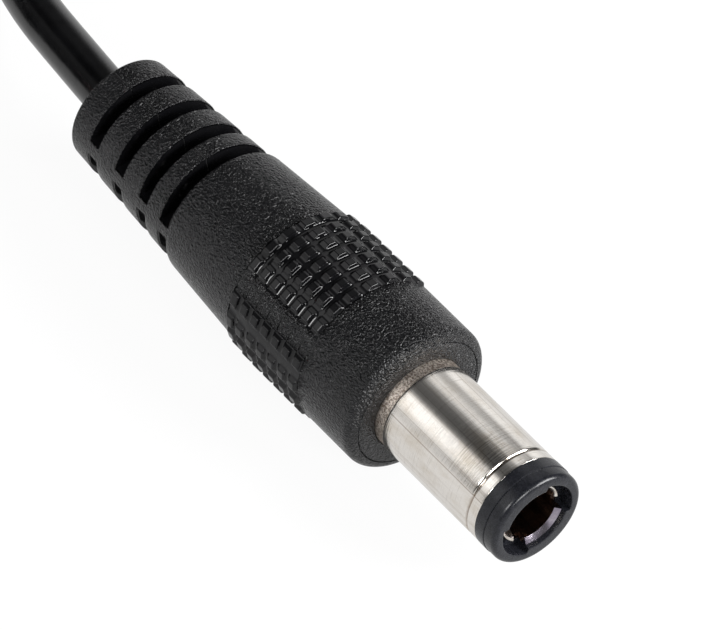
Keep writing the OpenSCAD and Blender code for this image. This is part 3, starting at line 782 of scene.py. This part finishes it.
brass = inner_finish("washer_brass", (0.62, 0.46, 0.2), (0.78, 0.62, 0.33), 0.35, 1800, 1.0)
milky = inner_finish("milky_plastic", (0.6, 0.58, 0.52), (0.7, 0.68, 0.62), 0.45, 900)
tin = inner_finish("solder_tin", (0.6, 0.6, 0.61), (0.78, 0.78, 0.79), 0.3, 3500, 1.0, 0.00003)
strands = inner_finish("copper_strands", (0.6, 0.3, 0.17), (0.8, 0.48, 0.32), 0.35, 5000, 1.0, 0.00003)
for name, finish in (
        ("contact_washer", brass), ("sleeve_tag", nickel), ("inner_mould", milky), ("solder_centre", tin),
        ("solder_sleeve", tin), ("wire_red", strands), ("wire_black", strands), ("core_red", red_pvc),
        ("core_black", black_pvc), ("cable_jacket", jacket)):
    nodes[name].data.materials.clear()
    nodes[name].data.materials.append(finish.material)

# ---- Table, lamps and backdrop ------------------------------------------------------
# A plain white table top under a soft studio light. The camera sees it as white, what
# shines sees it a little darker, and a part of its own shade keeps the plug's shadow.
table_half = 1.5
shining_grey, clear_share = 0.78, 0.93
floor_mesh = bpy.data.meshes.new("table_top")
floor_mesh.from_pydata([(-table_half, -table_half, 0), (table_half, -table_half, 0), (table_half, table_half, 0),
                        (-table_half, table_half, 0)], [], [(0, 1, 2, 3)])
floor = bpy.data.objects.new("table_top", floor_mesh)
floor.location.z = cad_box[0].z
bpy.context.scene.collection.objects.link(floor)
white = Finish("white_table", base_color=(0.85, 0.85, 0.85, 1), roughness=0.6)
path = white.tree.nodes.new("ShaderNodeLightPath")
seen = Signal(white, path.outputs["Is Camera Ray"])
shine = white.mix(seen, (shining_grey, shining_grey, shining_grey, 1), (1, 1, 1, 1))
for word in ("Is Glossy Ray", "Is Transmission Ray"):
    seen = seen.math("MAXIMUM", seen, Signal(white, path.outputs[word]))
glow = white.node("ShaderNodeEmission", {}, {"Color": shine, "Strength": 1.0})
lit = Signal(white, white.skin.outputs[0])
blend = white.node("ShaderNodeMixShader", {}, {0: seen * clear_share, 1: lit, 2: glow})
white.tree.links.new(blend.socket, white.tree.nodes["Material Output"].inputs["Surface"])
floor_mesh.materials.append(white.material)

# The tent's brightness by the slope of a ray seen along the plug: 0 is level at +Y,
# 0.5 is overhead and 1 is level at -Y. Its panels stand in one upright band behind the
# plug, from -0.7 to -0.4 along X. They are dim beside it, and dark where the tent is
# open, at +X.
world = bpy.data.worlds.new("studio")
world.use_nodes = True
bpy.context.scene.world = world
bpy.context.scene.view_settings.view_transform = "Standard"
tent = Wiring(world.node_tree, "Generated")
slope = tent.node("ShaderNodeMath", {"operation": "ARCTAN2"}, {0: tent.z, 1: tent.y}) * (1 / math.pi)
tent_level = 1.4
levels = ((0.0, 0.6), (0.08, 0.74), (0.15, 0.76), (0.21, 0.38), (0.27, 0.38), (0.34, 0.66), (0.39, 0.66),
          (0.45, 0.24), (0.5, 0.1), (0.56, 0.07), (0.63, 0.08), (0.67, 0.2), (0.7, 0.93), (0.76, 1.0),
          (0.85, 0.93), (0.9, 0.66), (0.94, 0.5), (1.0, 0.55))
stops = [(at, (v, v, v, 1)) for at, v in levels]
panels = tent.node("ShaderNodeValToRGB", {"stops": stops}, {"Fac": slope})
beside_share = 0.1
dim = tent.mix(beside_share, (0, 0, 0, 1), panels)
window = tent.x.step(-0.7, -0.62) * (1 - tent.x.step(-0.44, -0.36))
open_side = tent.mix(tent.x.step(-0.2, 0.2), tent.mix(window, dim, panels), (0.03, 0.03, 0.03, 1))
camera_ray = Signal(tent, tent.tree.nodes.new("ShaderNodeLightPath").outputs["Is Camera Ray"])
shown = tent.mix(camera_ray, open_side, (1 / tent_level, 1 / tent_level, 1 / tent_level, 1))
background = tent.tree.nodes["Background"]
tent.tree.links.new(shown.socket, background.inputs["Color"])
background.inputs["Strength"].default_value = tent_level


def lamp(name, direction, size, power):
    """A soft box that faces the plug from that direction."""
    data = bpy.data.lights.new(name, "AREA")
    data.shape = "RECTANGLE"
    data.size, data.size_y = size
    data.energy = power
    made = bpy.data.objects.new(name, data)
    made.location = Vector(direction).normalized() * lamp_distance
    made.rotation_mode = "QUATERNION"
    made.rotation_quaternion = Vector(direction).to_track_quat("Z", "Y")
    bpy.context.scene.collection.objects.link(made)


lamp_distance = 0.5
lamp("front_side", (0.67, 0.53, 0.52), (0.3, 0.2), 4.8)
lamp("front", (0.84, -0.18, 0.5), (0.22, 0.14), 1.9)
lamp("side", (-0.05, -0.86, 0.5), (0.18, 0.12), 1.4)
